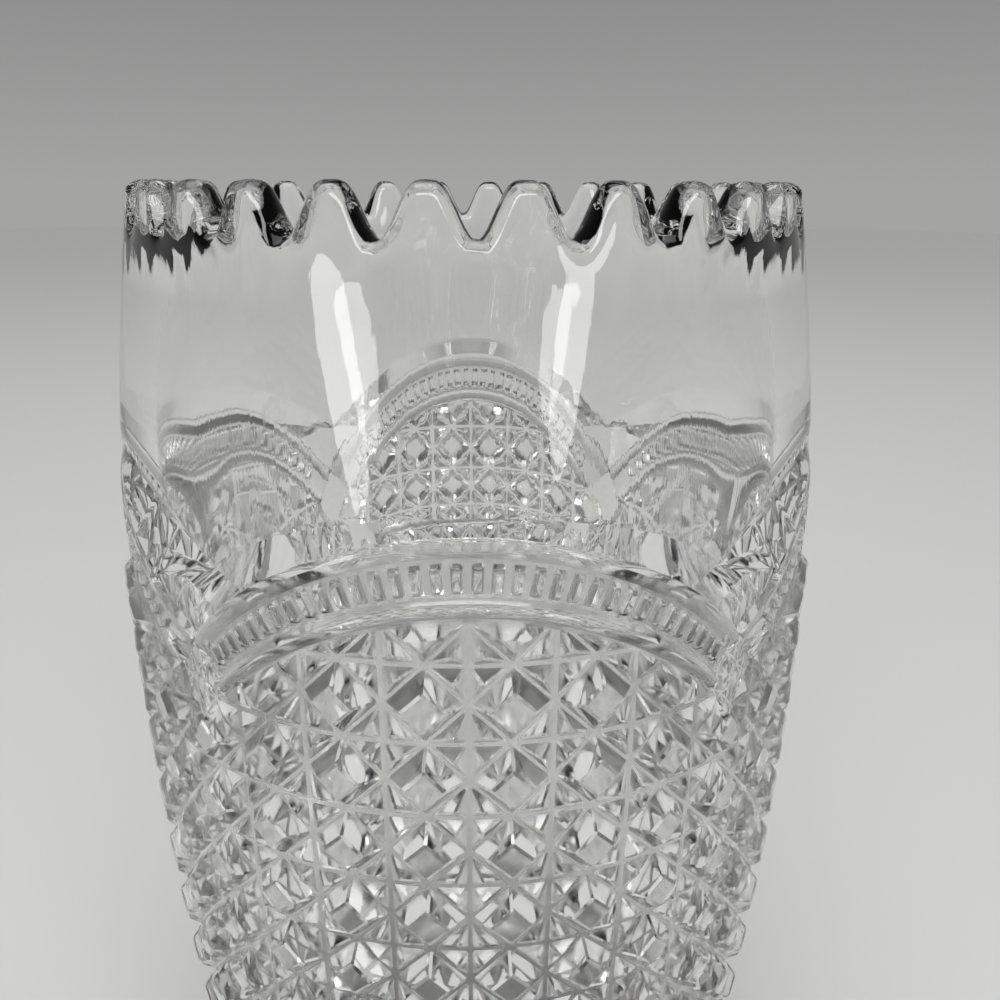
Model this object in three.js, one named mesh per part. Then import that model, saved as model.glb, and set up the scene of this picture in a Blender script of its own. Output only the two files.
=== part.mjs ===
// Pressed glass celery vase: scalloped rim, plain band, four arched panels of stars and buttons.
// Millimetres, +Z up, origin at the centre of the foot, one panel facing -Y.
// The glass is one closed skin. It is laid ring by ring from the middle of the inside floor,
// up the inner wall, over the rim, down the outside and across the underside.
import * as THREE from 'three';

// Overall sizes
const height = 170;
const rimRadius = 46.1;
const plainBandFlare = 3.3;
const bodyProjection = 3.4;
const bodyTaper = 6.9;

// Rim: a wave of broad, rounded scallops
const scallopCount = 28;
const scallopDepth = 5.8;
const scallopFullness = 1.8;
const scallopSteps = 8;
const rimWall = 4.4;
const shoulderWall = 7;
const shoulderDepth = 10;
const rimRounding = 1.3;
const rimTurn = THREE.MathUtils.degToRad(1.5);

// Plain band: round at the rim, squarer lower down, with its broad flats over the junctions
const plainBandLength = 40;
const plainBandSquareness = 0.07;

// Arched panels. Each line hangs from the middle of its panel down to the junction with the next.
// A width is measured down the wall in the middle of the panel, and a widening is added at the junction.
const panelCount = 4;
const columnsPerPanel = 16;
const ledgeApex = 32.6;
const ledgeDrop = 13.9;
const bevelWidth = 2.7;
const bevelWidening = 6.4;
const outerRidgeWidth = 3.2;
const outerRidgeWidening = 1.3;
const ribBandWidth = 3.3;
const ribBandWidening = 0.3;
const innerRidgeWidth = 1.1;
const innerRidgeWidening = 1.1;
const innerSlopeWidth = 2.3;

// How far the parts of an arch lie inside the outline that the button tops reach
const archEdgeInset = 1.6;
const outerRidgeInset = 1.2;
const ribBandInset = 1.2;
const ribDepth = 1.1;
const ribMargin = 0.3;
const ribsPerPanel = 42;
const innerRidgeInset = 1.2;
const junctionInset = 4;
const junctionSharpness = 10;

// Spandrel: a low roof over each junction, its ridge running out from the tip of the plain band
const spandrelColumns = 1;
const spandrelInset = 3.5;
const spandrelFall = 0.9;

// Field of stars and buttons
const widestDepth = 40;
const taperPower = 2.62;
const firstRowDepth = 50.7;
const rowPitch = 10.13;
const fieldMargin = 0.4;
const grooveDepth = 2.4;
const buttonShare = 0.5;
const starHeight = 1.75;
const starTipShare = 1 / 3;

// Heel, foot and underside
const heelHeight = 18;
const heelStep = 1.3;
const footBandHeight = 8;
const footRounding = 3;
const footCornerShare = 0.6;
const footCornerRise = 0.25;
const footInset = 4.6;
const footWidth = 6;
const undersideRecess = 3;
const undersideStarDepth = 1.2;

// Inside
const floorThickness = 12;
const floorCorner = 16;
const floorCornerSteps = 4;
const ledgeWall = 8;
const bodyWall = 8;
const insideRoundDepth = 96;
const insideSteps = 7;

const ledgeRadius = rimRadius + plainBandFlare;
const bodyRadius = ledgeRadius + bodyProjection;
const heelRadius = bodyRadius - bodyTaper;
const footBandRadius = heelRadius - heelStep;
const footRadius = footBandRadius - footInset;

const fullTurn = 2 * Math.PI;
const columnCount = panelCount * columnsPerPanel;
const columnAngle = fullTurn / columnCount;
const panelAngle = fullTurn / panelCount;
const fieldRows = Math.max(1, Math.round((height - firstRowDepth - heelHeight) / rowPitch));
const fieldEndDepth = firstRowDepth + fieldRows * rowPitch;

// The skin: corner points and the triangles between them
const corners = [];
const triangles = [];

function point(angle, radius, depth) {
  corners.push(radius * Math.sin(angle), -radius * Math.cos(angle), height - depth);
  return { angle, index: corners.length / 3 - 1 };
}

function triangle(a, b, c) {
  triangles.push(a.index, b.index, c.index);
}

function ring(count, radiusAt, depthAt) {
  return Array.from({ length: count }, (_, i) => {
    const angle = (i * fullTurn) / count;
    const depth = depthAt(angle);
    return point(angle, radiusAt(angle, depth), depth);
  });
}

// Joins two closed rings that may have different numbers of points
function bridge(above, below) {
  const angleOf = (chain, i) => chain[i % chain.length].angle + fullTurn * Math.floor(i / chain.length);
  let i = 0;
  let j = 0;
  while (i < above.length || j < below.length) {
    const a = above[i % above.length];
    const b = below[j % below.length];
    const aboveIsDone = i >= above.length;
    if (j < below.length && (aboveIsDone || angleOf(below, j + 1) <= angleOf(above, i + 1))) {
      j += 1;
      triangle(b, below[j % below.length], a);
    } else {
      i += 1;
      triangle(b, above[i % above.length], a);
    }
  }
}

function closeWith(ringPoints, centre, facingUp) {
  ringPoints.forEach((from, i) => {
    const to = ringPoints[(i + 1) % ringPoints.length];
    if (facingUp) {
      triangle(from, to, centre);
    } else {
      triangle(centre, to, from);
    }
  });
}

// Share of the way from the middle of a panel (0) to its junction with the next (1)
function panelShare(angle) {
  return Math.abs(angle / panelAngle - Math.round(angle / panelAngle)) * 2;
}

function mix(from, to, share) {
  return from + (to - from) * share;
}

// The lines of an arch, from the ledge below the plain band to the edge of the field
function ledgeLine(angle) {
  return ledgeApex + ledgeDrop * panelShare(angle) ** 2;
}

function lineBelow(line, width, widening) {
  return (angle) => line(angle) + width + widening * panelShare(angle) ** 2;
}

const archEdgeLine = lineBelow(ledgeLine, bevelWidth, bevelWidening);
const outerRidgeLine = lineBelow(archEdgeLine, outerRidgeWidth / 2, outerRidgeWidening / 2);
const ribTopLine = lineBelow(archEdgeLine, outerRidgeWidth, outerRidgeWidening);
const ribEndLine = lineBelow(ribTopLine, ribBandWidth, ribBandWidening);
const innerRidgeLine = lineBelow(ribEndLine, innerRidgeWidth, innerRidgeWidening);
const fieldLine = lineBelow(innerRidgeLine, innerSlopeWidth, 0);

// Outer radius of the plain band
function bandRadius(angle, depth) {
  const share = Math.min(depth / plainBandLength, 1);
  const round = rimRadius + plainBandFlare * Math.sin((share * Math.PI) / 2);
  const squareness = (plainBandSquareness * depth) / plainBandLength;
  return round * (1 + squareness * Math.cos(panelCount * angle));
}

// Radius of the button tops
function outlineRadius(depth) {
  const share = Math.max(depth - widestDepth, 0) / (fieldEndDepth - widestDepth);
  return bodyRadius - bodyTaper * share ** taperPower;
}

// The arches sink towards the junction, where the bands of two panels meet in a valley
function archRadius(inset) {
  return (angle, depth) => {
    const sinking = panelShare(angle) ** junctionSharpness;
    return outlineRadius(depth) - mix(inset, junctionInset, sinking);
  };
}

function grooveRadius(depth) {
  return outlineRadius(depth) - grooveDepth;
}

// Thickness of the plain band: it swells below the thin rim, then grows slowly to the ledge
function bandWall(depth) {
  const swelling = THREE.MathUtils.smoothstep(depth, 0, shoulderDepth);
  const shareBelow = (depth - shoulderDepth) / (plainBandLength - shoulderDepth);
  const growth = (ledgeWall - shoulderWall) * THREE.MathUtils.clamp(shareBelow, 0, 1);
  return mix(rimWall, shoulderWall, swelling) + growth;
}

// Inner wall: it follows the plain band down to the ledge, eases into the round body,
// and ends in a rounded corner at the flat floor
const insideDepth = height - floorThickness;
const cornerTop = insideDepth - floorCorner;

function insideRadius(angle, depth) {
  const ledge = ledgeLine(angle);
  const bandDepth = Math.min(depth, ledge);
  const upper = bandRadius(angle, bandDepth) - bandWall(bandDepth);
  const lower = outlineRadius(Math.min(depth, fieldEndDepth)) - bodyWall;
  const easing = THREE.MathUtils.smoothstep(depth, ledge, insideRoundDepth);
  const rise = Math.max(depth - cornerTop, 0);
  const corner = floorCorner - Math.sqrt(Math.max(floorCorner ** 2 - rise ** 2, 0));
  return mix(upper, lower, easing) - corner;
}

function layInside() {
  const insideRing = (depth) => ring(columnCount, insideRadius, () => depth);
  const cornerDepths = Array.from({ length: floorCornerSteps + 1 }, (_, i) => {
    const turn = (i * fullTurn) / (4 * floorCornerSteps);
    return cornerTop + floorCorner * Math.cos(turn);
  });
  const wallDepths = Array.from({ length: insideSteps }, (_, i) => {
    return mix(cornerTop, shoulderDepth, (i + 1) / insideSteps);
  });
  const rings = [...cornerDepths, ...wallDepths].map(insideRing);
  closeWith(rings[0], point(0, 0, insideDepth), true);
  rings.slice(1).forEach((next, i) => bridge(rings[i], next));
  return rings.at(-1);
}

// Depth of the scalloped edge below the tips
function scallopAt(angle) {
  const phase = (angle - rimTurn) * scallopCount;
  return scallopDepth * ((1 + Math.cos(phase)) / 2) ** scallopFullness;
}

function layRim(innerWall) {
  const count = scallopCount * scallopSteps;
  const shoulderLine = (angle) => scallopAt(angle) + rimRounding;
  const crestRadius = (angle, depth) => bandRadius(angle, depth) - bandWall(depth) / 2;
  const inner = ring(count, insideRadius, shoulderLine);
  const crest = ring(count, crestRadius, scallopAt);
  const outer = ring(count, bandRadius, shoulderLine);
  bridge(innerWall, inner);
  bridge(inner, crest);
  bridge(crest, outer);
  return outer;
}

// The bevel under the ledge. Next to the junction its lower line climbs to the spandrel's point.
function layBevel(rimEdge) {
  const ledge = ring(columnCount, bandRadius, ledgeLine);
  bridge(rimEdge, ledge);
  const roofStart = 1 - (2 * spandrelColumns) / columnsPerPanel;
  const roofShare = (angle) => Math.max(panelShare(angle) - roofStart, 0) / (1 - roofStart);
  const pointDepth = ledgeApex + ledgeDrop + spandrelFall;
  const bevelEndLine = (angle) => mix(archEdgeLine(angle), pointDepth, roofShare(angle));
  const bevelEndInset = (angle) => mix(archEdgeInset, spandrelInset, roofShare(angle));
  const bevelEndRadius = (angle, depth) => outlineRadius(depth) - bevelEndInset(angle);
  const bevelEnd = ring(columnCount, bevelEndRadius, bevelEndLine);
  bridge(ledge, bevelEnd);
  return bevelEnd;
}

// A band of short ribs, each a ridge between two notches
function layRibs(ribTop) {
  const count = panelCount * ribsPerPanel * 2;
  const ribRadius = (angle, depth) => {
    const isNotch = Math.round((angle * count) / fullTurn) % 2 === 0;
    return archRadius(ribBandInset)(angle, depth) - (isNotch ? ribDepth : 0);
  };
  const first = ring(count, ribRadius, (angle) => ribTopLine(angle) + ribMargin);
  const last = ring(count, ribRadius, (angle) => ribEndLine(angle) - ribMargin);
  bridge(ribTop, first);
  bridge(first, last);
  const ribEnd = ring(columnCount, archRadius(ribBandInset), ribEndLine);
  bridge(last, ribEnd);
  return ribEnd;
}

function layArches(rimEdge) {
  const bevelEnd = layBevel(rimEdge);
  const edge = ring(columnCount, archRadius(archEdgeInset), (angle) => archEdgeLine(angle) + fieldMargin);
  const outerRidge = ring(columnCount, archRadius(outerRidgeInset), outerRidgeLine);
  const ribTop = ring(columnCount, archRadius(ribBandInset), ribTopLine);
  bridge(bevelEnd, edge);
  bridge(edge, outerRidge);
  bridge(outerRidge, ribTop);
  const ribEnd = layRibs(ribTop);
  const innerRidge = ring(columnCount, archRadius(innerRidgeInset), innerRidgeLine);
  const fieldEdge = ring(columnCount, archRadius(grooveDepth), fieldLine);
  bridge(ribEnd, innerRidge);
  bridge(innerRidge, fieldEdge);
  return fieldEdge;
}

// The diagonal grooves cross on whole rows in odd columns and on half rows in even ones.
// Buttons stand on the diamonds of the odd columns, and stars on those of the even ones.
function rowDepth(row) {
  return firstRowDepth + row * rowPitch;
}

// The highest crossing of each column from which every neighbour also finds whole diamonds
function firstCrossings() {
  const rowOffset = (column) => (column % 2 === 0 ? 0.5 : 0);
  const belowLine = Array.from({ length: columnCount }, (_, column) => {
    const row = (fieldLine(column * columnAngle) + fieldMargin - firstRowDepth) / rowPitch;
    return Math.ceil(row - rowOffset(column)) + rowOffset(column);
  });
  return belowLine.map((_, column) => {
    const reached = belowLine.map((row, other) => {
      const apart = Math.abs(column - other);
      return row - Math.min(apart, columnCount - apart) / 2;
    });
    return Math.min(Math.max(...reached), fieldRows - rowOffset(column));
  });
}

function layField(fieldEdge) {
  const crossings = new Map();
  const crossing = (column, row) => {
    const wrapped = (column + columnCount) % columnCount;
    const key = `${wrapped} ${row}`;
    if (!crossings.has(key)) {
      crossings.set(key, point(wrapped * columnAngle, grooveRadius(rowDepth(row)), rowDepth(row)));
    }
    return crossings.get(key);
  };
  const raised = (column, row, rise) => {
    const depth = rowDepth(row);
    return point(column * columnAngle, grooveRadius(depth) + rise, depth);
  };

  const layButton = (column, row) => {
    const rim = [
      crossing(column - 1, row),
      crossing(column, row + 0.5),
      crossing(column + 1, row),
      crossing(column, row - 0.5),
    ];
    const top = [
      raised(column - buttonShare, row, grooveDepth),
      raised(column, row + buttonShare / 2, grooveDepth),
      raised(column + buttonShare, row, grooveDepth),
      raised(column, row - buttonShare / 2, grooveDepth),
    ];
    rim.forEach((from, i) => {
      const next = (i + 1) % rim.length;
      triangle(from, rim[next], top[next]);
      triangle(from, top[next], top[i]);
    });
    triangle(top[0], top[1], top[2]);
    triangle(top[0], top[2], top[3]);
  };

  // One quarter of a star: a low three-sided point between two grooves and the diamond's edge
  const layPoint = (centre, from, to, column, row) => {
    const tip = raised(column, row, starHeight);
    triangle(centre, from, tip);
    triangle(from, to, tip);
    triangle(to, centre, tip);
  };
  const layStar = (column, row) => {
    const centre = crossing(column, row);
    const left = crossing(column - 1, row);
    const right = crossing(column + 1, row);
    const top = crossing(column, row - 0.5);
    const upperTip = row - starTipShare / 2;
    const lowerTip = row + starTipShare / 2;
    layPoint(centre, right, top, column + starTipShare, upperTip);
    layPoint(centre, top, left, column - starTipShare, upperTip);
    if (row < fieldRows) {
      const bottom = crossing(column, row + 0.5);
      layPoint(centre, left, bottom, column - starTipShare, lowerTip);
      layPoint(centre, bottom, right, column + starTipShare, lowerTip);
    }
  };

  const starts = firstCrossings();
  const topEdge = starts.map((row, column) => crossing(column, row));
  bridge(fieldEdge, topEdge);
  starts.forEach((start, column) => {
    const layCell = column % 2 === 0 ? layStar : layButton;
    for (let row = start + 0.5; row <= fieldRows; row += 1) {
      layCell(column, row);
    }
  });
  return starts.map((_, column) => crossing(column, fieldRows));
}

function layFoot(fieldEnd) {
  const bandTop = Math.min(footBandHeight, height - fieldEndDepth - footRounding);
  const levels = [
    [footBandRadius, bandTop],
    [footBandRadius, footRounding],
    [mix(footRadius, footBandRadius, footCornerShare), footRounding * footCornerRise],
    [footRadius, 0],
    [footRadius - footWidth, 0],
  ];
  let last = fieldEnd;
  levels.forEach(([radius, level]) => {
    const next = ring(columnCount, () => radius, () => height - level);
    bridge(last, next);
    last = next;
  });
  const starRadius = footRadius - footWidth - undersideRecess;
  const starDepth = (angle) => {
    const isRay = Math.round(angle / columnAngle) % 2 === 0;
    return height - undersideRecess + (isRay ? undersideStarDepth : 0);
  };
  const star = ring(columnCount, () => starRadius, starDepth);
  bridge(last, star);
  closeWith(star, point(0, 0, height - undersideRecess), false);
}

const innerWall = layInside();
const rimEdge = layRim(innerWall);
const fieldEdge = layArches(rimEdge);
const fieldEnd = layField(fieldEdge);
layFoot(fieldEnd);

const geometry = new THREE.BufferGeometry();
geometry.setAttribute('position', new THREE.Float32BufferAttribute(corners, 3));
geometry.setIndex(triangles);
geometry.computeVertexNormals();

const clearGlass = new THREE.MeshStandardMaterial({
  color: 0xe9ece8,
  roughness: 0.06,
  metalness: 0,
  flatShading: true,
});
const pressedGlassBody = new THREE.Mesh(geometry, clearGlass);
pressedGlassBody.name = 'pressed_glass_body';

const group = new THREE.Group();
group.add(pressedGlassBody);

export default group;
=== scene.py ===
# %% [markdown]
# # A pressed glass celery vase
# A tall round vase, pressed in an iron mould in one go. A plain band runs round the top under a scalloped,
# fire-polished rim. Below it stand four arched panels: a bevel, a smooth ridge, a band of small upright
# ribs, a second ridge, and under the arch a field of stars and raised buttons that runs to the heel.
#
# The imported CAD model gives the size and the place. The vase is modelled again here with its fine
# relief, because glass shows every edge. Its measures are in millimetres, and MM turns them into
# Blender's metres. Only the size of the floor and the lamps are given in metres.

# %% Load the frame
from functools import cache
from math import atan2, cos, degrees, hypot, pi, radians, sin, sqrt

import bmesh
import bpy
from mathutils import Matrix, Vector


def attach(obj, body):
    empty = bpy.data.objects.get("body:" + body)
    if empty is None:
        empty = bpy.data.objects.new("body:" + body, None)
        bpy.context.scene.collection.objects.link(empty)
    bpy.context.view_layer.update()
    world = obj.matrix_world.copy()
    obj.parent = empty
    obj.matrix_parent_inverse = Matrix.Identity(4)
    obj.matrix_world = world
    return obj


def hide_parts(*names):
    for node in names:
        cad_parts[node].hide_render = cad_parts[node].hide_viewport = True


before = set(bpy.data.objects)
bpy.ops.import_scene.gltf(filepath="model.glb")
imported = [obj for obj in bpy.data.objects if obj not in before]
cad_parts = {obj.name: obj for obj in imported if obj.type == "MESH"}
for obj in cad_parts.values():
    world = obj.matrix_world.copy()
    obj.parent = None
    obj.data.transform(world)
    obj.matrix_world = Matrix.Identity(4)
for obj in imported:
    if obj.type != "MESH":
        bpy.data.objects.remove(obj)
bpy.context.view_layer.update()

# %% [markdown]
# ## Camera
# The camera stands close to the vase, at the height of its rim, and looks down at about 19 degrees. It
# could be placed by eye, but a pattern of straight rows shows every degree of error, so its place was found
# by fitting the circle of the rim, both silhouettes and the rows of the pattern.

# %% Camera
MM = 0.001
CAMERA_DISTANCE = 139.85
CAMERA_HEIGHT = 169.5
CAMERA_TURN = radians(0.38)
CAMERA_YAW = radians(1.997)
CAMERA_PITCH = radians(19.05)
CAMERA_ROLL = radians(0.2485)
SENSOR_WIDTH = 36
FOCAL_PIXELS = 914.64
PICTURE_PIXELS = 1000


def camera_axes():
    """The camera's right, up and backward directions."""
    level = cos(CAMERA_PITCH)
    forward = Vector((sin(CAMERA_YAW) * level, cos(CAMERA_YAW) * level, -sin(CAMERA_PITCH)))
    right = forward.cross(Vector((0, 0, 1))).normalized()
    up = right.cross(forward)
    rolled_right = cos(CAMERA_ROLL) * right + sin(CAMERA_ROLL) * up
    rolled_up = cos(CAMERA_ROLL) * up - sin(CAMERA_ROLL) * right
    return rolled_right, rolled_up, -forward


bpy.ops.object.select_all(action="DESELECT")
bpy.ops.object.camera_add()
camera = bpy.context.object
camera.name = "camera"
camera.data.sensor_width = SENSOR_WIDTH
camera.data.lens = SENSOR_WIDTH * FOCAL_PIXELS / PICTURE_PIXELS
camera.data.clip_start = 0.01
camera.data.clip_end = 50
stand = Matrix.Translation((0, -CAMERA_DISTANCE * MM, CAMERA_HEIGHT * MM))
aim = Matrix(camera_axes()).transposed().to_4x4()
camera.matrix_world = Matrix.Rotation(CAMERA_TURN, 4, "Z") @ stand @ aim
bpy.context.scene.camera = camera
print("camera lens", round(camera.data.lens, 2), "mm")

# %% [markdown]
# ## The measures of the body
# Angles go round from the front panel's middle. Depths are measured down from the rim's tips, as that is
# how the photograph shows them. The outline is the round shape that the button tops reach: upright down to
# the widest place, then drawn in more and more towards the heel. One formula gives it to every step below,
# so all that sits on the body moves with it.

# %% Measures of the body and its field
HEIGHT = 170
BODY_RADIUS = 52.7
BODY_TAPER = 6.9
WIDEST_DEPTH = 40
TAPER_POWER = 2.62
TAPER_LIMIT = 1.1
COLUMNS = 64
COLUMN_TURN = 2 * pi / COLUMNS
FIRST_ROW = 50.7
ROW = 10.13
ROWS = 10
FIELD_END = FIRST_ROW + ROWS * ROW
GROOVE = 2.4


def outline(depth):
    share = max(depth - WIDEST_DEPTH, 0) / (FIELD_END - WIDEST_DEPTH)
    return BODY_RADIUS - BODY_TAPER * min(share, TAPER_LIMIT) ** TAPER_POWER


def spot(angle, radius, depth):
    return Vector((radius * sin(angle), -radius * cos(angle), HEIGHT - depth)) * MM


print("widest radius", BODY_RADIUS, "mm, radius at the field's end", round(outline(FIELD_END), 2), "mm")

# %% [markdown]
# ## One star and one button
# The field has stars on the even columns and buttons on the odd ones, each in a diamond between the
# diagonal grooves. A star is a diamond cut in four by a cross of grooves, with a low three-sided point in
# each quarter: the Poke operator raises just such a point. A button is a diamond with steep sides and a
# flat top: that is an inset with a height. The grooves could also be cut into a round wall, but two small
# pieces that repeat are quicker and exact. Both are modelled flat, facing the front.

# %% Star and button
COLUMN_WIDTH = 5.1
STAR_HEIGHT = 1.75
BUTTON_SHARE = 0.5


def flat_diamond(name, column, row, fill):
    """Upright diamond, two columns wide and a row high, left in edit mode with all of it selected."""
    bpy.ops.object.select_all(action="DESELECT")
    bpy.ops.mesh.primitive_circle_add(vertices=4, radius=MM, fill_type=fill, rotation=(pi / 2, 0, 0))
    piece = bpy.context.object
    piece.name = name
    bpy.ops.object.transform_apply(location=True, rotation=True, scale=True)
    bpy.ops.object.mode_set(mode="EDIT")
    bpy.ops.mesh.select_all(action="SELECT")
    bpy.ops.transform.resize(value=(COLUMN_WIDTH, 1, ROW / 2))
    bpy.ops.transform.translate(value=(column * COLUMN_WIDTH * MM, 0, -row * ROW * MM))
    return piece


def report(piece):
    print(piece.name, "faces", len(piece.data.polygons), "points", len(piece.data.vertices))


star = flat_diamond("star", 0, -1, "TRIFAN")
bpy.ops.mesh.poke(offset=STAR_HEIGHT * MM, center_mode="MEDIAN")
bpy.ops.object.mode_set(mode="OBJECT")
button = flat_diamond("button", 1, -0.5, "NGON")
half_width = COLUMN_WIDTH * ROW / 2 / hypot(COLUMN_WIDTH, ROW / 2)
bpy.ops.mesh.inset(thickness=half_width * (1 - BUTTON_SHARE) * MM, depth=GROOVE * MM)
bpy.ops.object.mode_set(mode="OBJECT")
report(star)
report(button)

# %% [markdown]
# ## The field, wrapped round the body
# Two Array modifiers repeat the pair over the whole field. The flat sheet is then bent round in code: a
# place across the sheet becomes an angle, and the relief becomes height above the grooves, which follow
# the body's curve. A Simple Deform modifier could roll it up as well, but not along a curved outline.
#
# The bottoms of the grooves get a broad bevel and the crests a narrow one, because pressed glass never
# comes out of its mould with knife-sharp edges. Those narrow facets are the bright bands and lines that
# the photograph shows between the stars.

# %% Repeat the pair
def work_on(piece):
    bpy.ops.object.select_all(action="DESELECT")
    piece.select_set(True)
    bpy.context.view_layer.objects.active = piece


def add_array(piece, name, count, step):
    repeat = piece.modifiers.new(name, "ARRAY")
    repeat.count = count
    repeat.use_relative_offset = False
    repeat.use_constant_offset = True
    repeat.constant_offset_displace = step


def apply_modifiers(piece):
    work_on(piece)
    for modifier in list(piece.modifiers):
        bpy.ops.object.modifier_apply(modifier=modifier.name)


work_on(star)
button.select_set(True)
bpy.ops.object.join()
field = bpy.context.object
field.name = "field"
add_array(field, "columns", COLUMNS // 2, (2 * COLUMN_WIDTH * MM, 0, 0))
add_array(field, "rows", ROWS + 2, (0, 0, -ROW * MM))
apply_modifiers(field)
report(field)

# %% Bend the sheet round
WELD = 0.02


def cut_level(depth, is_top):
    """Cut a piece level. The top cut drops what lies above it, the other one what lies below."""
    bpy.ops.mesh.select_all(action="SELECT")
    bpy.ops.mesh.bisect(
        plane_co=(0, 0, (HEIGHT - depth) * MM),
        plane_no=(0, 0, 1),
        clear_outer=is_top,
        clear_inner=not is_top,
        threshold=WELD * MM,
    )


for point in field.data.vertices:
    across, relief, down = point.co.x / MM, -point.co.y / MM, -point.co.z / MM
    depth = FIRST_ROW + down
    point.co = spot(across / COLUMN_WIDTH * COLUMN_TURN, outline(depth) - GROOVE + relief, depth)
bpy.ops.object.mode_set(mode="EDIT")
bpy.ops.mesh.select_all(action="SELECT")
bpy.ops.mesh.remove_doubles(threshold=WELD * MM)
cut_level(FIRST_ROW - ROW, True)
cut_level(FIELD_END, False)
bpy.ops.object.mode_set(mode="OBJECT")
report(field)

# %% Ease the edges of the relief
GROOVE_BOTTOM = 0.4
CREST_EASE = 0.26
SHARP = radians(8)


def select_edges(piece, is_wanted):
    bpy.ops.mesh.select_mode(type="EDGE")
    bpy.ops.mesh.select_all(action="DESELECT")
    mesh = bmesh.from_edit_mesh(piece.data)
    for edge in mesh.edges:
        if edge.is_manifold and is_wanted(edge.calc_face_angle_signed()):
            edge.select_set(True)
    bmesh.update_edit_mesh(piece.data)


bpy.ops.object.mode_set(mode="EDIT")
select_edges(field, lambda bend: bend < -SHARP)
bpy.ops.mesh.bevel(offset=GROOVE_BOTTOM * MM, segments=1, affect="EDGES", clamp_overlap=False)
select_edges(field, lambda bend: bend > SHARP)
bpy.ops.mesh.bevel(offset=CREST_EASE * MM, segments=1, affect="EDGES", clamp_overlap=False)
bpy.ops.object.mode_set(mode="OBJECT")
report(field)

# %% [markdown]
# The relief needs glass behind it before it can be joined to the vase. Its two open edges are extruded
# inwards and bridged, which makes the sheet a closed sleeve. Solidify would do that too, but it would
# also copy the relief to the back.

# %% Close the field into a sleeve
SLEEVE_WALL = 5
HEEL_TUCK = 0.9
HEEL_DROP = 0.8
MILLILITRES = 1e6


def select_open_edges(piece):
    bpy.ops.mesh.select_mode(type="VERT")
    bpy.ops.mesh.select_all(action="DESELECT")
    mesh = bmesh.from_edit_mesh(piece.data)
    for point in mesh.verts:
        if any(edge.is_boundary for edge in point.link_edges):
            point.select = True
    mesh.select_flush(True)
    bmesh.update_edit_mesh(piece.data)
    bpy.ops.mesh.select_mode(type="EDGE")


def inner_spot(place):
    """Behind the relief at the upper edge, tucked in and down at the heel."""
    depth = HEIGHT - place.z / MM
    inset, drop = (SLEEVE_WALL - GROOVE, 0) if depth < HEIGHT / 2 else (HEEL_TUCK, HEEL_DROP)
    return spot(atan2(place.x, -place.y), outline(depth) - GROOVE - inset, depth + drop)


def report_skin(piece):
    mesh = bmesh.new()
    mesh.from_mesh(piece.data)
    open_edges = sum(not edge.is_manifold for edge in mesh.edges)
    print(piece.name, "open edges", open_edges, "glass", round(mesh.calc_volume() * MILLILITRES, 1), "ml")
    mesh.free()


bpy.ops.object.mode_set(mode="EDIT")
select_open_edges(field)
bpy.ops.mesh.extrude_edges_move()
mesh = bmesh.from_edit_mesh(field.data)
for point in mesh.verts:
    if point.select:
        point.co = inner_spot(point.co)
bmesh.update_edit_mesh(field.data)
bpy.ops.mesh.bridge_edge_loops()
bpy.ops.mesh.select_all(action="SELECT")
bpy.ops.mesh.normals_make_consistent(inside=False)
bpy.ops.object.mode_set(mode="OBJECT")
report_skin(field)
report(field)

# %% [markdown]
# ## The arches
# Each line of an arch was read off the photograph as a depth that grows with the angle from the panel's
# middle. The bands between them run square to the arch, so the columns of the mesh leave the arch's edge
# at a right angle and slide down until they meet each line. Next to a junction, where two panels meet,
# the bands stop at a sunk, kite-shaped facet, and a low roof closes the corner under the plain band.

# %% Lines of an arch
PANELS = 4
PANEL_TURN = 2 * pi / PANELS
JUNCTION = PANEL_TURN / 2


def curve(apex, square, fourth):
    return lambda angle: apex + square * angle ** 2 + fourth * angle ** 4


ledge_line = curve(32.6, 24.7, -3.1)
edge_line = curve(35.3, 33.1, -1.87)
rib_top_line = curve(38.58, 31.42, 7.04)
rib_end_line = curve(41.79, 34.25, 1.92)
field_line = curve(45.26, 36.51, -0.45)
print("an arch runs from", edge_line(0), "to", round(edge_line(JUNCTION), 1), "mm deep")

# %% Where a column meets a line
TINY_TURN = 1e-4
HALVINGS = 40
COLUMN_REACH = (-2.0, 20.0)


def slope_of(line, angle):
    return (line(angle + TINY_TURN) - line(angle - TINY_TURN)) / (2 * TINY_TURN)


@cache
def slide(angle, line):
    """Angle and depth where a column that leaves the arch's edge squarely meets a line."""
    slope = slope_of(edge_line, angle) / BODY_RADIUS
    length = hypot(slope, 1)
    low, high = COLUMN_REACH
    for _ in range(HALVINGS):
        middle = (low + high) / 2
        place_angle = angle - middle * slope / length / BODY_RADIUS
        place_depth = edge_line(angle) + middle / length
        if place_depth < line(place_angle):
            low = middle
        else:
            high = middle
    return place_angle, place_depth


kite_side = slide(JUNCTION, field_line)
print("kite side corner", round(degrees(kite_side[0]), 1), "degrees", round(kite_side[1], 1), "mm deep")

# %% [markdown]
# ## Columns of the mesh
# The ribs are what needs the most columns: five for each rib, two for its feet, two for its shoulders and
# one in the gap. They could be separate small blocks, but then each would show a seam in the glass. They
# are spaced evenly along the middle of the rib band, 2.27 mm apart.

# %% Places along the rib band
RIB_PITCH = 2.27
RIB_RADIUS = BODY_RADIUS - 1
RIB_SAMPLES = 300


def mix(start, end, share):
    return start + (end - start) * share


def rib_middle(angle):
    return (rib_top_line(angle) + rib_end_line(angle)) / 2


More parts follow.
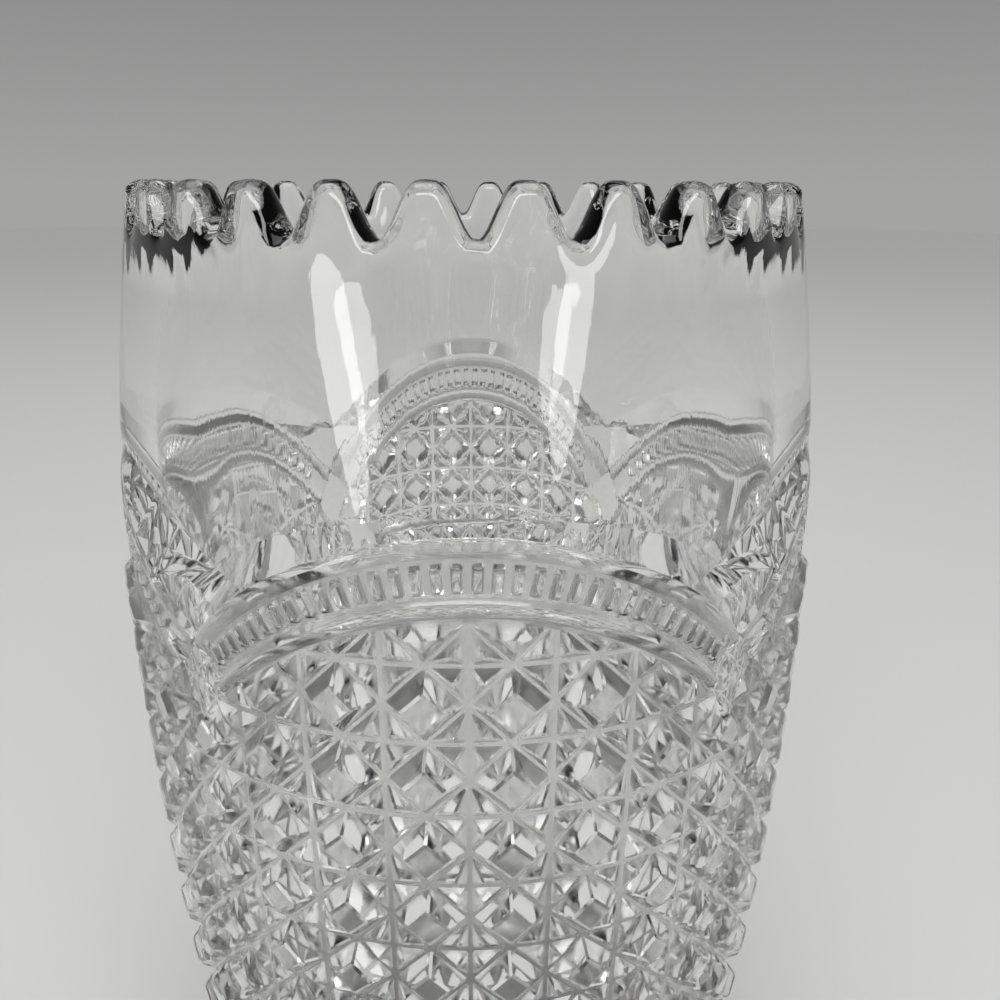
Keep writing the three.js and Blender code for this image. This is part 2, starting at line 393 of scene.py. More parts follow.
def lengths_along_ribs():
    """Length along the rib band for each of many angles from the panel's middle to the junction."""
    table = [(0.0, 0.0)]
    last_angle, last_depth = slide(0, rib_middle)
    for i in range(1, RIB_SAMPLES + 1):
        angle = JUNCTION * i / RIB_SAMPLES
        place_angle, place_depth = slide(angle, rib_middle)
        stretch = hypot((place_angle - last_angle) * RIB_RADIUS, place_depth - last_depth)
        table.append((table[-1][0] + stretch, angle))
        last_angle, last_depth = place_angle, place_depth
    return table


rib_lengths = lengths_along_ribs()
half_arch = rib_lengths[-1][0]


def angle_at(length):
    for (before, from_angle), (after, to_angle) in zip(rib_lengths, rib_lengths[1:]):
        if length <= after:
            return mix(from_angle, to_angle, (length - before) / (after - before))
    return JUNCTION


print("half an arch is", round(half_arch, 1), "mm long at the ribs")

# %% Columns round the vase
RIB_SHAPE = ((0, 0), (0.19, 0), (0.33, 1), (0.67, 1), (0.81, 0))
RIBS_PER_SIDE = 17
PLAIN_COLUMNS = 5
PLAIN_OVERRUN = 1
KITE_COLUMNS = (-1, 0, 1)

half_columns = []
for rib in range(RIBS_PER_SIDE):
    for share, raised in RIB_SHAPE:
        half_columns.append((angle_at((rib + share) * RIB_PITCH), raised))
ribs_end = RIBS_PER_SIDE * RIB_PITCH
for i in range(PLAIN_COLUMNS + 1):
    length = mix(ribs_end, half_arch + PLAIN_OVERRUN, i / PLAIN_COLUMNS)
    half_columns.append((angle_at(length), 0))
half_columns[-1] = (JUNCTION, 0)
panel_columns = [(-angle, raised) for angle, raised in reversed(half_columns[1:])] + half_columns

# Each column: the middle of its panel, its angle from there, its share of a rib and its side of the kite
all_columns = []
for panel in range(PANELS):
    centre = panel * PANEL_TURN
    all_columns += [(centre, angle, raised, None) for angle, raised in panel_columns]
    all_columns += [(centre, JUNCTION, 0, side) for side in KITE_COLUMNS]
print("columns in a panel", len(panel_columns), "and round the vase", len(all_columns))

# %% [markdown]
# ## Laying a ring
# A ring is laid the way a bowl is modelled by hand: the round face at its end is extruded, and the new
# edge is moved to its line. Each point carries the number of its column, so the code knows where it goes.
# A Screw or Spin would be shorter for a plain bowl, but here nearly every ring has its own shape.

# %% Helpers that lay rings
RING_WELD = 0.002


def start_rings(name, places):
    """New piece, one round face so far, left in edit mode for the rings that follow."""
    bpy.ops.object.select_all(action="DESELECT")
    bpy.ops.mesh.primitive_circle_add(vertices=len(places), radius=MM, fill_type="NGON")
    piece = bpy.context.object
    piece.name = name
    bpy.ops.object.mode_set(mode="EDIT")
    mesh = bmesh.from_edit_mesh(piece.data)
    number = mesh.verts.layers.int.new("column")
    for i, point in enumerate(mesh.verts):
        point[number] = i
        point.co = places[i]
    bmesh.update_edit_mesh(piece.data)
    bpy.ops.mesh.select_all(action="SELECT")
    return piece


def lay_ring(piece, places, crease=False):
    bpy.ops.mesh.extrude_region_move()
    mesh = bmesh.from_edit_mesh(piece.data)
    number = mesh.verts.layers.int["column"]
    for point in mesh.verts:
        if point.select:
            point.co = places[point[number]]
    bmesh.update_edit_mesh(piece.data)
    bpy.ops.mesh.mark_sharp(clear=not crease)


def finish_rings(piece):
    bpy.ops.mesh.select_all(action="SELECT")
    bpy.ops.mesh.remove_doubles(threshold=RING_WELD * MM)
    bpy.ops.mesh.normals_make_consistent(inside=False)
    bpy.ops.object.mode_set(mode="OBJECT")
    report_skin(piece)
    report(piece)


def round_ring(radius_at, depth_at):
    """Ring whose depth follows the angle, and whose radius follows angle and depth."""
    places = []
    for centre, angle, raised, side in all_columns:
        depth = depth_at(centre + angle)
        places.append(spot(centre + angle, radius_at(centre + angle, depth), depth))
    return places


def level_ring(radius, depth):
    return round_ring(lambda a, d: radius, lambda a: depth)


print("a ring has", len(level_ring(BODY_RADIUS, 0)), "points")

# %% [markdown]
# ## Inside and rim
# The inside is smooth. It follows the plain band down, because the photograph shows the far side through
# it with hardly any shift, as only a wall of nearly even thickness does. At each side the inside shows up
# to a sharp upright edge, and that edge stands at the inner wall's own radius: the glass is 4.4 mm thick at
# the rim, swells to 7 mm below the scallops and to 8 mm at the ledge.
#
# The rim's edge follows a wave of 28 scallops with broad rounded tips. After pressing, the rim was melted
# smooth in the fire, so its section is a half round. A bevel could round the edge afterwards, but setting
# each ring back square to the wave keeps the rounding as wide in the valleys as on the tips.

# %% Shape of the plain band
RIM_RADIUS = 46.1
BAND_FLARE = 3.3
BAND_LENGTH = 40
BAND_SQUARENESS = 0.07
RIM_WALL = 4.4
SHOULDER_WALL = 7
SHOULDER_DEPTH = 10
LEDGE_WALL = 8


def band_radius(angle, depth):
    share = min(depth / BAND_LENGTH, 1)
    squareness = BAND_SQUARENESS * depth / BAND_LENGTH
    return (RIM_RADIUS + BAND_FLARE * sin(share * pi / 2)) * (1 + squareness * cos(PANELS * angle))


def ease(share):
    share = min(max(share, 0), 1)
    return share * share * (3 - 2 * share)


def band_wall(depth):
    swollen = mix(RIM_WALL, SHOULDER_WALL, ease(depth / SHOULDER_DEPTH))
    below = min(max((depth - SHOULDER_DEPTH) / (BAND_LENGTH - SHOULDER_DEPTH), 0), 1)
    return swollen + (LEDGE_WALL - SHOULDER_WALL) * below


print("band is", RIM_WALL, "mm thick at the rim and", round(band_wall(BAND_LENGTH), 1), "mm at the ledge")

# %% Shape of the rim
SCALLOPS = 28
SCALLOP_DEPTH = 5.75
SCALLOP_FULLNESS = 1.8
TIP_DEPTH = 0.06
RIM_TURN = radians(1.5)
RIM_ROUNDING = 1.5
RIM_STEPS = (0, 12, 30, 50, 70, 90)


def scallop(angle):
    wave = (1 + cos((angle - RIM_TURN) * SCALLOPS)) / 2
    return TIP_DEPTH + SCALLOP_DEPTH * wave ** SCALLOP_FULLNESS


def rim_ring(turn, outside):
    """One ring of the rounded edge: turn 0 is its crest, 90 degrees its side."""
    back = RIM_ROUNDING * (1 - cos(turn))
    places = []
    for centre, angle, raised, side in all_columns:
        around = centre + angle
        slope = slope_of(scallop, around) / RIM_RADIUS
        length = hypot(slope, 1)
        moved = around - back * slope / length / RIM_RADIUS
        depth = scallop(around) + back / length
        half_wall = band_wall(depth) / 2
        radius = band_radius(moved, depth) - half_wall + half_wall * sin(turn) * (1 if outside else -1)
        places.append(spot(moved, radius, depth))
    return places


print("scallops are", round(2 * pi * RIM_RADIUS / SCALLOPS, 1), "mm wide and", SCALLOP_DEPTH, "mm deep")

# %% Shape of the inside
INSIDE_DEPTH = 158
FLOOR_CORNER = 16
BODY_WALL = 8
INSIDE_ROUND_DEPTH = 96


def panel_angle(angle):
    return abs((angle + JUNCTION) % PANEL_TURN - JUNCTION)


def ledge_at(angle):
    return ledge_line(panel_angle(angle))


def inside_radius(angle, depth):
    """The band's own inside down to the ledge, then an easy change to the round body."""
    ledge = ledge_at(angle)
    upper = band_radius(angle, min(depth, ledge)) - band_wall(min(depth, ledge))
    lower = outline(min(depth, FIELD_END)) - BODY_WALL
    rise = max(depth - (INSIDE_DEPTH - FLOOR_CORNER), 0)
    corner = FLOOR_CORNER - sqrt(max(FLOOR_CORNER ** 2 - rise ** 2, 0))
    return mix(upper, lower, ease((depth - ledge) / (INSIDE_ROUND_DEPTH - ledge))) - corner


print("inside is", round(2 * inside_radius(0, INSIDE_ROUND_DEPTH), 1), "mm wide half way down")

# %% Lay the inside and the rim
FLOOR_RINGS = (2, 10)
CORNER_TURNS = (90, 78, 66, 54, 42, 30, 18, 8, 0)
BAND_TOP = 9
WALL_DEPTHS = (132, 120, 108, 96, 86, 76, 68, 60, 53, 47, 42, 37, 32, 26, 20, 14, BAND_TOP)

vase = start_rings("pressed_glass_vase", level_ring(FLOOR_RINGS[0], INSIDE_DEPTH))
lay_ring(vase, level_ring(FLOOR_RINGS[1], INSIDE_DEPTH))
corner_depths = [INSIDE_DEPTH - FLOOR_CORNER * (1 - sin(radians(turn))) for turn in CORNER_TURNS]
for depth in (*corner_depths, *WALL_DEPTHS):
    lay_ring(vase, round_ring(inside_radius, lambda a: depth))
for turn in reversed(RIM_STEPS):
    lay_ring(vase, rim_ring(radians(turn), False))
for turn in RIM_STEPS[1:]:
    lay_ring(vase, rim_ring(radians(turn), True))
print("inside and rim laid, rings in the wall", len(corner_depths) + len(WALL_DEPTHS))

# %% [markdown]
# ## Plain band, bevel and roof
# The plain band is round at the rim and a little square lower down, with its broad flats over the
# junctions. A bevel leads out from it to the arch, and the corner between them is eased by a narrow facet
# that catches the light. At a junction a ridge runs out level from the tip of the plain band, with a
# sloping facet on either side of it and another below: the small roof over the corner. Each of these
# corners is a place on the right half of a panel, and its mirror image serves the left half.

# %% Plain band
BAND_RINGS = (0.0, 0.2, 0.4, 0.6, 0.8)
for share in BAND_RINGS:
    lay_ring(vase, round_ring(band_radius, lambda a: mix(BAND_TOP, ledge_at(a), share)))
print("plain band laid, rings", len(BAND_RINGS))

# %% Edges of the ledge and the arch
LEDGE_EASE = 0.3
EDGE_INSET = 1.65
ROOF_START = radians(30.5)
HIP_START = radians(36.2)
HIP_LEAD = radians(6)
HIP_INSET = 2.0
KITE_TOP_INSET = 4.1


def ledge_place(angle, above=0):
    depth = ledge_line(angle) - above
    return spot(angle, band_radius(angle, depth), depth)


def edge_place(angle):
    if angle <= HIP_START:
        towards = max(angle - ROOF_START + HIP_LEAD, 0) / (HIP_START - ROOF_START + HIP_LEAD)
        inset = mix(EDGE_INSET, HIP_INSET, towards ** 2)
        return spot(angle, outline(edge_line(angle)) - inset, edge_line(angle))
    hip = edge_place(HIP_START)
    kite_top = spot(JUNCTION, outline(edge_line(JUNCTION)) - KITE_TOP_INSET, edge_line(JUNCTION))
    return hip.lerp(kite_top, (angle - HIP_START) / (JUNCTION - HIP_START))


print("kite top", round(HEIGHT - edge_place(JUNCTION).z / MM, 1), "mm deep")

# %% Edges of the roof
RIDGE_END_RADIUS = 49.2
RIDGE_DROP = 0.1


def valley_place(angle):
    if angle <= ROOF_START:
        return edge_place(angle)
    share = (angle - ROOF_START) / (JUNCTION - ROOF_START)
    return edge_place(ROOF_START).lerp(ledge_place(JUNCTION), share)


def hip_place(angle):
    if angle <= HIP_START:
        return edge_place(angle)
    peak = spot(JUNCTION, RIDGE_END_RADIUS, ledge_line(JUNCTION) + RIDGE_DROP)
    return edge_place(HIP_START).lerp(peak, (angle - HIP_START) / (JUNCTION - HIP_START))


def ledge_above(angle):
    return ledge_place(angle, LEDGE_EASE)


def ledge_below(angle):
    """On the bevel, just below the ledge, or half way down where the bevel runs out."""
    gap = valley_place(angle) - ledge_place(angle)
    reach = LEDGE_EASE * MM
    share = reach / gap.length if gap.length > 2 * reach else 1 / 2
    return ledge_place(angle) + gap * share


ridge = hip_place(JUNCTION) - ledge_place(JUNCTION)
print("ridge of the roof is", round(ridge.length / MM, 1), "mm long")

# %% Lay the bevel and the roof
def turned(centre, place):
    return Matrix.Rotation(centre, 3, "Z") @ place


def mirrored(place, angle):
    """Place on the right half of a panel, mirrored for the left half."""
    where = place(abs(angle))
    return Vector((where.x if angle >= 0 else -where.x, where.y, where.z))


def panel_ring(place):
    return [turned(centre, mirrored(place, angle)) for centre, angle, raised, side in all_columns]


for place in (ledge_above, ledge_below, valley_place, hip_place, edge_place):
    lay_ring(vase, panel_ring(place), crease=True)
print("bevel and roof laid")

# %% [markdown]
# ## Ridges and ribs
# From the arch's edge each ring steps down over the outer ridge, the recessed rib band, the inner ridge
# and its slope to the field. A ring in the rib band lies low in the gaps and high on the ribs, so one row
# of rings makes all ribs at once. In the kite the rings lie in the plane of its facet, so the bands end
# there in a small step.

# %% Rows of the arch
# Each pair: the share of the way from the line above to the line below, and the inset from the outline
OUTER_RIDGE = ((0.12, 1.38), (0.3, 1.25), (0.5, 1.5), (0.8, 2.2))
RIB_BAND = ((-0.06, 2.15), (0.06, 1.5), (0.18, 1.15), (0.82, 1.15), (0.94, 1.5), (1.06, 2.15))
INNER_RIDGE = ((0.16, 2.0), (0.35, 1.4), (0.5, 1.2), (0.64, 1.35), (0.84, 2.1))
GAP_INSET = 2.3
FIELD_EDGE_INSET = 2.8


def between(first, second, share):
    return lambda angle: mix(first(angle), second(angle), share)


# Each row: its line, its inset on a rib and its inset in a gap
arch_rows = [(between(edge_line, rib_top_line, share), inset, inset) for share, inset in OUTER_RIDGE]
ribs_from = len(arch_rows)
arch_rows += [(between(rib_top_line, rib_end_line, share), inset, GAP_INSET) for share, inset in RIB_BAND]
ribs_to = len(arch_rows)
arch_rows += [(between(rib_end_line, field_line, share), inset, inset) for share, inset in INNER_RIDGE]
arch_rows.append((field_line, FIELD_EDGE_INSET, FIELD_EDGE_INSET))
creased_rows = (ribs_from - 1, ribs_from, ribs_to - 1, ribs_to)
print("rows of an arch", len(arch_rows), "with creases at", creased_rows)

# %% Lay the arches
SINKING = 1.9
SINKING_SHARPNESS = 10
KITE_SIDE_INSET = 3.9


def band_place(angle, raised, line, rib_inset, gap_inset):
    """Place on a band, which sinks towards the junction."""
    place_angle, depth = slide(abs(angle), line)
    sunk = SINKING * (abs(angle) / JUNCTION) ** SINKING_SHARPNESS
    radius = outline(depth) - mix(gap_inset, rib_inset, raised) - sunk
    return spot(place_angle if angle >= 0 else -place_angle, radius, depth)


def kite_corner(sign):
    return spot(sign * kite_side[0], outline(kite_side[1]) - KITE_SIDE_INSET, kite_side[1])


def kite_place(side, line):
    """Place on the kite: side -1 is this panel's edge of it, and side 1 the next panel's."""
    depth = slide(JUNCTION, line)[1]
    share = (depth - edge_line(JUNCTION)) / (kite_side[1] - edge_line(JUNCTION))
    this_edge = edge_place(JUNCTION).lerp(kite_corner(1), share)
    next_edge = turned(PANEL_TURN, mirrored(edge_place, -JUNCTION).lerp(kite_corner(-1), share))
    return this_edge.lerp(next_edge, (side + 1) / 2)


def arch_ring(line, rib_inset, gap_inset):
    places = []
    for centre, angle, raised, side in all_columns:
        if side is None:
            place = band_place(angle, raised, line, rib_inset, gap_inset)
        else:
            place = kite_place(side, line)
        places.append(turned(centre, place))
    return places


for row, (line, rib_inset, gap_inset) in enumerate(arch_rows):
    lay_ring(vase, arch_ring(line, rib_inset, gap_inset), crease=row in creased_rows)
print("arches laid, points", len(bmesh.from_edit_mesh(vase.data).verts))

# %% [markdown]
# Below the arches the rings draw in a little and run down inside the sleeve of stars and buttons, where
# nobody sees them, and come out again at the heel for the foot. They stay within the sleeve's wall all the
# way, because two skins that only touch would leave a Boolean with slivers.

# %% Foot of the kite and the core behind the field
KITE_FOOT_INSET = 3.9
KITE_FOOT_DEPTH = 70.5
CORE_STEP_IN = 1.0
CORE_STEP_DOWN = 0.8
CORE_INSET = 3.6
CORE_DEPTHS = (80, 100, 120, 136, 148)


def drawn_in(place):
    reach = hypot(place.x, place.y)
    keep = (reach - CORE_STEP_IN * MM) / reach
    return Vector((place.x * keep, place.y * keep, place.z - CORE_STEP_DOWN * MM))


kite_foot = spot(JUNCTION, outline(KITE_FOOT_DEPTH) - KITE_FOOT_INSET, KITE_FOOT_DEPTH)
foot_row = []
for (centre, angle, raised, side), place in zip(all_columns, arch_ring(*arch_rows[-1])):
    foot_row.append(turned(centre, kite_foot) if side is not None else place)
lay_ring(vase, foot_row)
lay_ring(vase, [drawn_in(place) for place in foot_row])
for depth in CORE_DEPTHS:
    lay_ring(vase, round_ring(lambda a, d: outline(d) - CORE_INSET, lambda a: depth))
print("core laid behind the field, down to", CORE_DEPTHS[-1], "mm")

# %% [markdown]
# ## Foot
# The photograph ends above the foot, so this part is a plain, usual one: the body steps in at the heel to a
# smooth band, rounds under to a flat resting ring, and the underside is recessed with a pressed star.

# %% Heel and foot band
HEEL_RADIUS = outline(FIELD_END)
HEEL_STEP = 1.3
FOOT_BAND_RADIUS = HEEL_RADIUS - HEEL_STEP
FOOT_INSET = 4.6
FOOT_RADIUS = FOOT_BAND_RADIUS - FOOT_INSET

# Each pair: the radius of a ring and its depth
foot_steps = (
    (HEEL_RADIUS - GROOVE - 0.05, 152.1),
    (HEEL_RADIUS - GROOVE - 0.1, 154),
    (FOOT_BAND_RADIUS - 0.7, 157.5),
    (FOOT_BAND_RADIUS - 0.1, 159.5),
    (FOOT_BAND_RADIUS, 161),
    (FOOT_BAND_RADIUS, 165.5),
    (FOOT_BAND_RADIUS - 0.4, 167.4),
    (FOOT_BAND_RADIUS - 1.5, 168.9),
    (FOOT_BAND_RADIUS - 3, 169.7),
    (FOOT_RADIUS, HEIGHT),
    (FOOT_RADIUS - 6, HEIGHT),
    (FOOT_RADIUS - 7, 169.4),
    (FOOT_RADIUS - 7.8, 168.2),
    (FOOT_RADIUS - 9, 167.2),
)
for radius, depth in foot_steps:
    lay_ring(vase, level_ring(radius, depth))
print("foot rests on a ring", round(2 * FOOT_RADIUS, 1), "mm across")

# %% Underside
UNDER_RAYS = 16
UNDER_DEPTH = 167
UNDER_RINGS = ((29, 1.2), (16, 0.7), (4, 0.1))
UNDER_MIDDLE = 1


def star_depth(angle, ray):
    """Depth on the pressed star, folded like a fan: it rises and falls by a ray's height."""
    fold = abs((angle * UNDER_RAYS / pi) % 2 - 1) - 0.5
    return UNDER_DEPTH + ray * fold


for radius, ray in UNDER_RINGS:
    lay_ring(vase, round_ring(lambda a, d: radius, lambda a: star_depth(a, ray)))
lay_ring(vase, level_ring(UNDER_MIDDLE, UNDER_DEPTH))
finish_rings(vase)

# %% [markdown]
# ## Joining the field to the vase
# A cutter shaped by the same line takes off the part of the sleeve that lies above the arches. Its lower
# face slopes, so the stars that the arch cuts through end in a small slanting face, with a groove between
# them and the inner ridge. A second Boolean then joins sleeve and vase into one closed skin. Two separate
# skins, one inside the other, would bend light at a wall that real glass doesn't have.

# %% Cutter above the field line
CUT_EVERY = 3
CUT_SLOPE = 0.45
KITE_SHARES = (1 / 3, 2 / 3, 1, 4 / 3, 5 / 3)
CUTTER_TOP = 20
CUTTER_LID = 30
CUTTER_OUTER = 62
CUTTER_INNER = 34
CUTTER_MIDDLE = 32

cut_line = []
for panel in range(PANELS):
    centre = panel * PANEL_TURN
    for angle, raised in panel_columns[::CUT_EVERY]:
        place_angle, depth = slide(abs(angle), field_line)
        cut_line.append((centre + (place_angle if angle >= 0 else -place_angle), depth))
    for share in KITE_SHARES:
        towards = 1 - abs(1 - share)
        offset = (JUNCTION - kite_side[0]) * (share - 1)
        cut_line.append((centre + JUNCTION + offset, mix(kite_side[1], KITE_FOOT_DEPTH, towards)))


def flat_cut(radius, depth):
    return [spot(angle, radius, depth) for angle, line_depth in cut_line]


def sloping_cut(radius):
    """Ring on the cutter's sloping face, which meets the cut line at the bottom of the grooves."""
    fall = CUT_SLOPE * (radius - (BODY_RADIUS - GROOVE))
    return [spot(angle, radius, line_depth + fall) for angle, line_depth in cut_line]


cutter = start_rings("cutter", flat_cut(CUTTER_INNER, CUTTER_TOP))
lay_ring(cutter, flat_cut(CUTTER_OUTER, CUTTER_TOP))
lay_ring(cutter, sloping_cut(CUTTER_OUTER))
lay_ring(cutter, sloping_cut(CUTTER_INNER))
lay_ring(cutter, flat_cut(CUTTER_MIDDLE, CUTTER_LID))
finish_rings(cutter)

# %% Cut and join
SMOOTH_ANGLE = radians(35)


def boolean(piece, tool, operation):
    modifier = piece.modifiers.new("boolean", "BOOLEAN")
    modifier.object = tool
    modifier.operation = operation
    modifier.solver = "MANIFOLD"
    apply_modifiers(piece)
    bpy.data.objects.remove(tool, do_unlink=True)
    report(piece)


field.data.shade_flat()
vase.data.shade_smooth()
boolean(field, cutter, "DIFFERENCE")
work_on(vase)
bpy.ops.object.shade_smooth_by_angle(angle=SMOOTH_ANGLE, keep_sharp_edges=True)
boolean(vase, field, "UNION")
report_skin(vase)
print("flat faces", sum(not face.use_smooth for face in vase.data.polygons))

# %% [markdown]
# ## Where the glass is polished
# The fire smooths the rim, the plain band and the crests, but hardly reaches the grooves, which keep the
# fine roughness of the iron mould and gather a little wear. A noise pattern alone couldn't tell a groove
# from a crest. Each point of the mesh therefore carries a polish value: 1 where the wall is smooth, and
# from 0 at the bottom of a groove to 0.6 on a crest.

# %% Polish of each point
CREST_POLISH = 0.6
KITE_INSET = 2.95
EDGE_MARGIN = 0.25
HEEL_MARGIN = 1

polish = vase.data.attributes.new("polish", "FLOAT", "POINT")
for i, point in enumerate(vase.data.vertices):
    depth = HEIGHT - point.co.z / MM
    inset = outline(depth) - hypot(point.co.x, point.co.y) / MM
    top = edge_line(panel_angle(atan2(point.co.x, -point.co.y))) + EDGE_MARGIN
    is_relief = top < depth < FIELD_END + HEEL_MARGIN and inset < KITE_INSET
    polish.data[i].value = CREST_POLISH * min(max(1 - inset / GROOVE, 0), 1) if is_relief else 1
print("points in the relief", sum(entry.value < 1 for entry in polish.data), "of", len(polish.data))

# %% [markdown]
# ## Its place in the frame
# The finished vase is one piece of glass, as the real one is. It stands for the CAD model's one node and
# rides on the one body that the vase has.

# %% Put the vase in its place in the frame
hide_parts("pressed_glass_body")
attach(vase, "root")
print(vase.name, "stands for pressed_glass_body")

# %% [markdown]
# ## Glass
# Clear soda glass with a faint warm grey tint. Fire-polished glass isn't optically flat: slow waves in the
# surface bend what is seen through it. Handling leaves fine scratches, mostly running down the wall. The
# polish value sets how satin the surface is: rough in the grooves, clear on the slopes, a little worn on
# the button tops that every hand and shelf touches. The rougher of scratches and satin wins at each place.
#
# A plain Glass BSDF would refract just as well, but the Principled BSDF keeps its transmission in an
# export, and waves, scratches and satin all reach it as textures on the object's own coordinates.

# %% Glass shader, waves and scratches
def set_levels(node, levels):
    for name, value in levels.items():
        node.inputs[name].default_value = value


glass = bpy.data.materials.new("clear_glass")
glass.use_nodes = True
nodes, links = glass.node_tree.nodes, glass.node_tree.links
shader = nodes["Principled BSDF"]
set_levels(shader, {"Transmission Weight": 1, "IOR": 1.51})
coordinates = nodes.new("ShaderNodeTexCoord")

waves = nodes.new("ShaderNodeTexNoise")
set_levels(waves, {"Scale": 110, "Detail": 1})
links.new(coordinates.outputs["Object"], waves.inputs["Vector"])

stretch = nodes.new("ShaderNodeMapping")
set_levels(stretch, {"Scale": (1, 1, 0.06)})
links.new(coordinates.outputs["Object"], stretch.inputs["Vector"])
scratches = nodes.new("ShaderNodeTexNoise")
set_levels(scratches, {"Scale": 2600, "Detail": 2})
links.new(stretch.outputs["Vector"], scratches.inputs["Vector"])
print("glass bends light by an index of", round(shader.inputs["IOR"].default_value, 2))

# %% Roughness from scratches and satin
# Each pair: a polish value and the roughness that it gives
SATIN = ((0.0, 0.4), (0.1, 0.22), (0.25, 0.08), (0.5, 0.06), (0.6, 0.13), (0.75, 0.0))


def set_stops(ramp, stops):
    """Write a colour ramp's stops, each a position and a colour."""
    elements = ramp.color_ramp.elements
    while len(elements) < len(stops):
        elements.new(0.5)
    for element, (position, colour) in zip(elements, stops):
        element.position = position
        element.color = (*colour, 1)


haze = nodes.new("ShaderNodeMapRange")
set_levels(haze, {"From Min": 0.6, "From Max": 0.8, "To Min": 0.012, "To Max": 0.12})
links.new(scratches.outputs["Fac"], haze.inputs["Value"])

polished = nodes.new("ShaderNodeAttribute")
polished.attribute_name = "polish"
satin = nodes.new("ShaderNodeValToRGB")
set_stops(satin, [(value, (roughness, roughness, roughness)) for value, roughness in SATIN])
links.new(polished.outputs["Fac"], satin.inputs["Fac"])

rougher = nodes.new("ShaderNodeMath")
rougher.operation = "MAXIMUM"
links.new(haze.outputs["Result"], rougher.inputs[0])
links.new(satin.outputs["Color"], rougher.inputs[1])
links.new(rougher.outputs["Value"], shader.inputs["Roughness"])
print("satin stops", [round(stop.position, 2) for stop in satin.color_ramp.elements])

# %% Tint and bump
tint = nodes.new("ShaderNodeMix")
tint.data_type = "RGBA"
set_levels(tint, {"A": (0.965, 0.972, 0.955, 1), "B": (0.985, 0.985, 0.975, 1)})
links.new(waves.outputs["Fac"], tint.inputs["Factor"])
links.new(tint.outputs["Result"], shader.inputs["Base Color"])

wave_bump = nodes.new("ShaderNodeBump")
set_levels(wave_bump, {"Strength": 0.2, "Distance": 0.00012})
links.new(waves.outputs["Fac"], wave_bump.inputs["Height"])
scratch_bump = nodes.new("ShaderNodeBump")
set_levels(scratch_bump, {"Strength": 0.05, "Distance": 0.00004})
links.new(scratches.outputs["Fac"], scratch_bump.inputs["Height"])
links.new(wave_bump.outputs["Normal"], scratch_bump.inputs["Normal"])
links.new(scratch_bump.outputs["Normal"], shader.inputs["Normal"])
vase.data.materials.clear()
vase.data.materials.append(glass)
print("glass nodes", len(nodes))

# %% [markdown]
# ## Floor and light
# A plain pale floor and an even light from all round, with a soft lamp overhead, a long one high in front
# and a small one at each side. The long one lights the ridges and the slopes of the grooves that face up,
# and the small ones give the two upright highlights on the plain band. What the camera and the glass see
# of the surroundings is the floor's own pale grey at the horizon, darker towards the top: the darker part
# draws the edges of the facets. The floor lies a tenth of a millimetre under the foot, because a floor in
# the same plane as the resting ring shows through it as a black ring.

# %% Floor
FLOOR_GAP = 0.1
FLOOR_RADIUS = 4
FLOOR_SIDES = 96

bpy.ops.object.select_all(action="DESELECT")
bpy.ops.mesh.primitive_circle_add(
    vertices=FLOOR_SIDES,
    radius=FLOOR_RADIUS,
    fill_type="NGON",
    location=(0, 0, -FLOOR_GAP * MM),
)
bpy.ops.object.transform_apply(location=True, rotation=True, scale=True)
floor = bpy.context.object
floor.name = "floor"
paint = bpy.data.materials.new("pale_floor")
paint.use_nodes = True
set_levels(paint.node_tree.nodes["Principled BSDF"], {"Base Color": (0.54, 0.54, 0.535, 1), "Roughness": 0.9})
floor.data.materials.append(paint)
print("floor is", 2 * FLOOR_RADIUS, "m across")

# %% World
HORIZON = (0.37, 0.37, 0.367)
OVERHEAD = (0.07, 0.071, 0.073)
OVERHEAD_FROM = 0.5
LIGHT_LEVEL = 0.68

world = bpy.data.worlds.new("studio")
bpy.context.scene.world = world
world.use_nodes = True
sky_nodes, sky_links = world.node_tree.nodes, world.node_tree.links


def clamped_sum(first, second):
    total = sky_nodes.new("ShaderNodeMath")
    total.operation = "ADD"
    total.use_clamp = True
    sky_links.new(first, total.inputs[0])
    sky_links.new(second, total.inputs[1])
    return total.outputs["Value"]


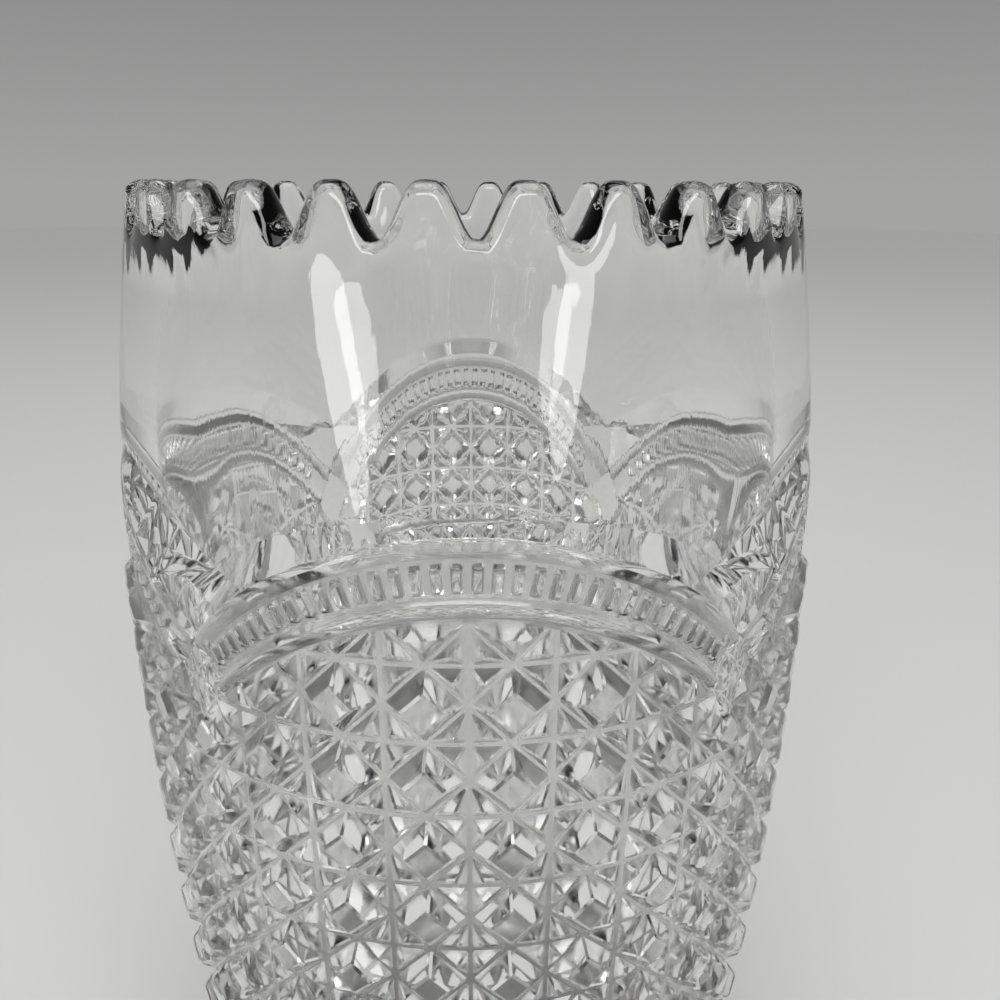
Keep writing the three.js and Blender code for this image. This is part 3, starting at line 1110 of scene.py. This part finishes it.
direction = sky_nodes.new("ShaderNodeTexCoord")
upwards = sky_nodes.new("ShaderNodeSeparateXYZ")
fade = sky_nodes.new("ShaderNodeValToRGB")
set_stops(fade, ((0.0, HORIZON), (OVERHEAD_FROM, OVERHEAD)))
sky_links.new(direction.outputs["Generated"], upwards.inputs["Vector"])
sky_links.new(upwards.outputs["Z"], fade.inputs["Fac"])

ray = sky_nodes.new("ShaderNodeLightPath")
by_glass = clamped_sum(ray.outputs["Is Glossy Ray"], ray.outputs["Is Transmission Ray"])
seen = clamped_sum(ray.outputs["Is Camera Ray"], by_glass)
level = sky_nodes.new("ShaderNodeMix")
level.data_type = "RGBA"
set_levels(level, {"A": (LIGHT_LEVEL, LIGHT_LEVEL, LIGHT_LEVEL, 1)})
sky_links.new(seen, level.inputs["Factor"])
sky_links.new(fade.outputs["Color"], level.inputs["B"])
sky_links.new(level.outputs["Result"], sky_nodes["Background"].inputs["Color"])
print("world nodes", len(sky_nodes))

# %% Lamps
VASE_MIDDLE = (0, 0, 0.12)
VASE_FOOT = (0, 0, 0)


def soft_lamp(name, place, target, shape, size, watts):
    bpy.ops.object.select_all(action="DESELECT")
    bpy.ops.object.light_add(type="AREA", location=place)
    lamp = bpy.context.object
    lamp.name = name
    lamp.data.shape = shape
    lamp.data.size, lamp.data.size_y = size
    lamp.data.energy = watts
    lamp.visible_camera = False
    lamp.rotation_euler = (Vector(target) - Vector(place)).to_track_quat("-Z", "Y").to_euler()


soft_lamp("left_lamp", (-0.5, -0.45, 0.17), VASE_MIDDLE, shape="ELLIPSE", size=(0.17, 0.3), watts=0.75)
soft_lamp("right_lamp", (0.4, -0.5, 0.22), VASE_MIDDLE, shape="ELLIPSE", size=(0.14, 0.28), watts=0.55)
soft_lamp("front_lamp", (0, -0.55, 0.7), VASE_MIDDLE, shape="RECTANGLE", size=(0.8, 0.16), watts=2.8)
soft_lamp("top_lamp", (0, 0.1, 1.4), VASE_FOOT, shape="RECTANGLE", size=(1.1, 1.1), watts=6)
bpy.context.scene.view_settings.view_transform = "Standard"
print("lamps", len(bpy.data.lights))
